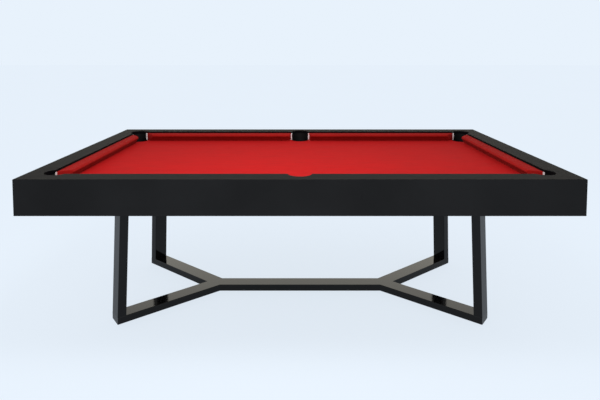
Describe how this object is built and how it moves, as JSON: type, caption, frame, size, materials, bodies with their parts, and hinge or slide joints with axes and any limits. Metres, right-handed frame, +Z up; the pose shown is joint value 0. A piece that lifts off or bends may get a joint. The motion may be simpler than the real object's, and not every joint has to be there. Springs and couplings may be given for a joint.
{
  "type": "pool table",
  "caption": "Slate-bed pool table with a flat black cabinet, red cloth, drop pockets and a forked base of gloss black rectangular tube on levelling feet.",
  "frame": {"origin": "on the floor, under the centre of the table", "axes": "+X along the long rails, +Y across the table towards the back long rail, +Z up"},
  "size_m": [2.6, 1.465, 0.864],
  "materials": {
    "apron_black": "satin black lacquered board",
    "rail_black": "satin black lacquered rail top",
    "cushion_cloth": "red worsted billiard cloth",
    "bed_cloth": "red worsted billiard cloth",
    "rubber": "black moulded rubber",
    "slate": "honed slate",
    "timber": "planed softwood",
    "base_steel": "gloss black",
    "pocket_black": "black moulded pocket liner",
    "chrome": "polished",
    "zinc": "zinc plated",
    "leveller_pad": "black nylon"
  },
  "bodies": {
    "table": {"apron_back": "apron_black", "apron_front": "apron_black", "apron_left": "apron_black", "apron_right": "apron_black", "bed_cloth": "bed_cloth", "centre_jaw_trims": "chrome", "corner_blocks": "timber", "corner_jaw_trims": "chrome", "cushion_cloth_back_left": "cushion_cloth", "cushion_cloth_back_right": "cushion_cloth", "cushion_cloth_front_left": "cushion_cloth", "cushion_cloth_front_right": "cushion_cloth", "cushion_cloth_left": "cushion_cloth", "cushion_cloth_right": "cushion_cloth", "cushion_facings": "cushion_cloth", "cushion_rubbers": "rubber", "cushion_subrails": "timber", "end_beams": "timber", "floor_bar_back_left": "base_steel", "floor_bar_back_right": "base_steel", "floor_bar_end_plates": "base_steel", "floor_bar_front_left": "base_steel", "floor_bar_front_right": "base_steel", "floor_spine": "base_steel", "frame_bolts": "zinc", "leg_beams": "timber", "leveller_nuts": "zinc", "long_beam_back": "timber", "long_beam_front": "timber", "pocket_liner_back_centre": "pocket_black", "pocket_liner_back_left": "pocket_black", "pocket_liner_back_right": "pocket_black", "pocket_liner_front_centre": "pocket_black", "pocket_liner_front_left": "pocket_black", "pocket_liner_front_right": "pocket_black", "rail_bolts": "zinc", "rail_cap_back": "rail_black", "rail_cap_front": "rail_black", "rail_cap_left": "rail_black", "rail_cap_right": "rail_black", "slate_centre": "slate", "slate_cleats": "timber", "slate_joint_beams": "timber", "slate_left": "slate", "slate_right": "slate", "slate_screws": "zinc", "upright_back_left": "base_steel", "upright_back_right": "base_steel", "upright_front_left": "base_steel", "upright_front_right": "base_steel", "upright_top_plates": "base_steel"},
    "leveller_pad_front_left": {"leveller_pad_front_left": "leveller_pad"},
    "leveller_stud_front_left": {"leveller_stud_front_left": "zinc"},
    "leveller_pad_front_right": {"leveller_pad_front_right": "leveller_pad"},
    "leveller_stud_front_right": {"leveller_stud_front_right": "zinc"},
    "leveller_pad_back_left": {"leveller_pad_back_left": "leveller_pad"},
    "leveller_stud_back_left": {"leveller_stud_back_left": "zinc"},
    "leveller_pad_back_right": {"leveller_pad_back_right": "leveller_pad"},
    "leveller_stud_back_right": {"leveller_stud_back_right": "zinc"}
  },
  "joints": [
    {"name": "leveller_slide_front_left", "type": "slide", "parent": "table", "child": "leveller_pad_front_left", "axis": [0, 0, -1], "range_m": [-0.003, 0.015]},
    {"name": "leveller_turn_front_left", "type": "hinge", "parent": "leveller_pad_front_left", "child": "leveller_stud_front_left", "pos_m": [-0.96808, -0.36674, 0], "axis": [0, 0, -1], "range_deg": [-545, 2705]},
    {"name": "leveller_slide_front_right", "type": "slide", "parent": "table", "child": "leveller_pad_front_right", "axis": [0, 0, -1], "range_m": [-0.003, 0.015]},
    {"name": "leveller_turn_front_right", "type": "hinge", "parent": "leveller_pad_front_right", "child": "leveller_stud_front_right", "pos_m": [0.96808, -0.36674, 0], "axis": [0, 0, -1], "range_deg": [-545, 2705]},
    {"name": "leveller_slide_back_left", "type": "slide", "parent": "table", "child": "leveller_pad_back_left", "axis": [0, 0, -1], "range_m": [-0.003, 0.015]},
    {"name": "leveller_turn_back_left", "type": "hinge", "parent": "leveller_pad_back_left", "child": "leveller_stud_back_left", "pos_m": [-0.96808, 0.36674, 0], "axis": [0, 0, -1], "range_deg": [-545, 2705]},
    {"name": "leveller_slide_back_right", "type": "slide", "parent": "table", "child": "leveller_pad_back_right", "axis": [0, 0, -1], "range_m": [-0.003, 0.015]},
    {"name": "leveller_turn_back_right", "type": "hinge", "parent": "leveller_pad_back_right", "child": "leveller_stud_back_right", "pos_m": [0.96808, 0.36674, 0], "axis": [0, 0, -1], "range_deg": [-545, 2705]}
  ],
  "couplings": [
    {"joint": "leveller_turn_front_left", "follows": "leveller_slide_front_left", "rad_per_m": 3141.6},
    {"joint": "leveller_turn_front_right", "follows": "leveller_slide_front_right", "rad_per_m": 3141.6},
    {"joint": "leveller_turn_back_left", "follows": "leveller_slide_back_left", "rad_per_m": 3141.6},
    {"joint": "leveller_turn_back_right", "follows": "leveller_slide_back_right", "rad_per_m": 3141.6}
  ]
}
